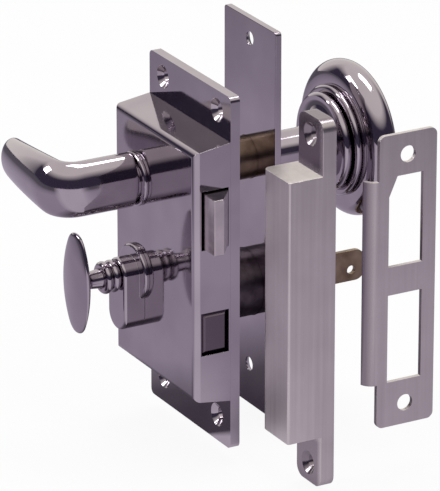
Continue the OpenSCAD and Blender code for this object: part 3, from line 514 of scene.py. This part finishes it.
def leverHandle():
    f = leverForm
    stations = leverStations()
    bpy.ops.object.select_all(action="DESELECT")
    x, y, drop, turn, size = stations[0]
    centre = Vector((x, y, spindleAxis[1] + drop)) / 1000
    bpy.ops.mesh.primitive_circle_add(vertices=f["sides"], radius=0.001, fill_type="NGON",
                                      location=centre, rotation=(math.pi / 2, 0, 0))
    piece = bpy.context.object
    piece.name = "leverHandle"
    bpy.ops.object.transform_apply(location=True, rotation=True, scale=True)
    bpy.ops.object.mode_set(mode="EDIT")
    bpy.ops.mesh.select_all(action="SELECT")
    bpy.ops.transform.resize(value=(f["halfThick"], 1, f["halfHigh"]), center_override=centre)
    for x, y, drop, nextTurn, nextSize in stations[1:]:
        nextCentre = Vector((x, y, spindleAxis[1] + drop)) / 1000
        bpy.ops.mesh.extrude_region_move(TRANSFORM_OT_translate={"value": nextCentre - centre})
        if nextTurn != turn:
            bpy.ops.transform.rotate(value=math.radians(turn - nextTurn), orient_axis="Z",
                                     center_override=nextCentre)
        grow = nextSize / size
        bpy.ops.transform.resize(value=(grow, grow, grow), center_override=nextCentre)
        centre, turn, size = nextCentre, nextTurn, nextSize
    bpy.ops.mesh.select_all(action="SELECT")
    bpy.ops.mesh.normals_make_consistent(inside=False)
    bpy.ops.object.mode_set(mode="OBJECT")
    applyModifier(piece, "SUBSURF", levels=2, render_levels=2)
    shankLine = [(f["shank"], f["neckAt"] - f["shankIn"]), (f["shank"], f["shankTo"])]
    shank = turnedPiece("leverShank", spindleAxis, shankLine, f["shankSides"])
    pickOnly(piece)
    shank.select_set(True)
    bpy.ops.object.join()
    return settle(piece, "lever_handle", 50)


leverHandle()
print("lever drawn")

# what stays as the solid only takes its finish
for node, solid in frame["nodes"].items():
    solid.data.materials.clear()
    solid.data.materials.append(finishes[slotOf[node]])

# metal sees a painted floor: a painted contact shadow close to the lock, a lavender band, dark further out, and a
# painted lighter patch on the camera side
studio = {"floorAt": -0.0885, "floorSize": 6.0, "floorTone": 0.62, "whiteShare": 0.92,
          "mirrorShare": 0.9, "ambient": 0.75,
          "paintedFloorReflection": [(0.05, (0.07, 0.055, 0.08, 1)), (0.105, (0.48, 0.42, 0.52, 1)),
                    (0.36, (0.48, 0.42, 0.52, 1)), (0.76, (0.08, 0.068, 0.10, 1))],
          "front": (0.80, 0.74, 0.82, 1), "frontStops": (0.66, 0.86),
          "wall": (1.0, 0.965, 0.90, 1), "room": (0.06, 0.05, 0.085, 1),
          "roomStops": (0.12, 0.24), "lowStops": (0.38, 0.68), "openWay": (0.8746, -0.4848)}


# what the eye and clear pieces see, and what shines back from metal
def raysOf(finish):
    path = {name: finish.node("ShaderNodeLightPath", {}, {}, name)
            for name in ("Is Camera Ray", "Is Glossy Ray", "Is Transmission Ray")}
    return path["Is Camera Ray"] + path["Is Transmission Ray"], path["Is Glossy Ray"]


def paleFloor():
    bpy.ops.object.select_all(action="DESELECT")
    bpy.ops.mesh.primitive_plane_add(size=studio["floorSize"], location=(0, 0, studio["floorAt"]))
    floor = bpy.context.object
    floor.name = "paleFloor"
    finish = newFinish("palePaper")
    tone = studio["floorTone"]
    seen, mirrored = raysOf(finish)
    place = finish.node("ShaderNodeTexCoord", {}, {}, "Object")
    away = finish.node("ShaderNodeVectorMath", {"operation": "LENGTH"}, {0: place}, "Value")
    # painted contact shadow near the lock, then a lavender band, then dark further out
    paintedFloorReflection = finish.node("ShaderNodeValToRGB", {"stops": studio["paintedFloorReflection"]}, {"Fac": away})
    heading = finish.node("ShaderNodeVectorMath", {"operation": "NORMALIZE"}, {0: place})
    toward = {0: heading, 1: (*studio["openWay"], 0)}
    facing = finish.node("ShaderNodeVectorMath", {"operation": "DOT_PRODUCT"}, toward, "Value")
    # painted light: a lighter patch on the camera side of the floor
    paintedFloorReflection = mixColor(finish, ramp(finish, facing, *studio["frontStops"]), paintedFloorReflection, studio["front"])
    paper = finish.node("ShaderNodeBsdfDiffuse", {}, {"Color": (tone, tone, tone, 1)})
    shine = mixColor(finish, mirrored, (1, 1, 1, 1), paintedFloorReflection)
    glow = finish.node("ShaderNodeEmission", {}, {"Color": shine, "Strength": 1.0})
    share = seen * studio["whiteShare"] + mirrored * studio["mirrorShare"]
    surface = finish.node("ShaderNodeMixShader", {}, {0: share, 1: paper, 2: glow})
    finish.node("ShaderNodeOutputMaterial", {}, {"Surface": surface})
    floor.data.materials.append(finish.holder)


paleFloor()


def whiteWorld():
    world = bpy.data.worlds.new("whiteStudio")
    bpy.context.scene.world = world
    finish = Finish(world)
    seen, mirrored = raysOf(finish)
    x, y, z = axesOf(finish, finish.node("ShaderNodeTexCoord", {}, {}, "Generated"))
    toward = x * studio["openWay"][0] + y * studio["openWay"][1]
    roomSide = ramp(finish, toward * 0.5 + 0.5, *studio["roomStops"])
    low = 1 - ramp(finish, z, *studio["lowStops"])
    shine = mixColor(finish, roomSide * low, studio["wall"], studio["room"])
    tint = mixColor(finish, mirrored, (1, 1, 1, 1), shine)
    strength = studio["ambient"] + (1.0 - studio["ambient"]) * (seen + mirrored)
    back = finish.node("ShaderNodeBackground", {}, {"Color": tint, "Strength": strength})
    finish.node("ShaderNodeOutputWorld", {}, {"Surface": back})


whiteWorld()

lamps = {"keyLamp": {"place": (-0.9, -1.3, 1.1), "size": (0.7, 0.7), "power": 14, "mirrored": True},
         "sideLamp": {"place": (1.3, 0.5, 0.9), "size": (0.5, 0.9), "power": 9, "mirrored": False},
         "topLamp": {"place": (-0.2, 0.4, 1.5), "size": (0.8, 0.5), "power": 10, "mirrored": True}}


def softLamp(name, look):
    lamp = bpy.data.lights.new(name, "AREA")
    lamp.shape = "RECTANGLE"
    lamp.size, lamp.size_y = look["size"]
    lamp.energy = look["power"]
    holder = bpy.data.objects.new(name, lamp)
    bpy.context.scene.collection.objects.link(holder)
    holder.location = look["place"]
    holder.rotation_euler = (-Vector(look["place"])).to_track_quat("-Z", "Y").to_euler()
    holder.visible_glossy = look["mirrored"]


for name, look in lamps.items():
    softLamp(name, look)
print("studio lit")

photoView = {"yaw": 60.993, "pitch": 21.540, "distance": 2.157989, "right": 0.009029,
             "up": -0.000618, "focal": 5000.0, "frame": 491.0}


def photoCamera():
    yaw, pitch = math.radians(photoView["yaw"]), math.radians(photoView["pitch"])
    level = math.cos(pitch)
    right = Vector((math.cos(yaw), math.sin(yaw), 0))
    back = Vector((math.sin(yaw) * level, -math.cos(yaw) * level, math.sin(pitch)))
    up = back.cross(right)
    lens = bpy.data.cameras.new("photoCamera")
    lens.sensor_width = 36.0
    lens.lens = photoView["focal"] * lens.sensor_width / photoView["frame"]
    camera = bpy.data.objects.new("photoCamera", lens)
    bpy.context.scene.collection.objects.link(camera)
    turn = Matrix((right, up, back)).transposed().to_4x4()
    place = back * photoView["distance"] + right * photoView["right"] + up * photoView["up"]
    camera.matrix_world = Matrix.Translation(place) @ turn
    bpy.context.scene.camera = camera


photoCamera()
bpy.context.scene.view_settings.view_transform = "Standard"
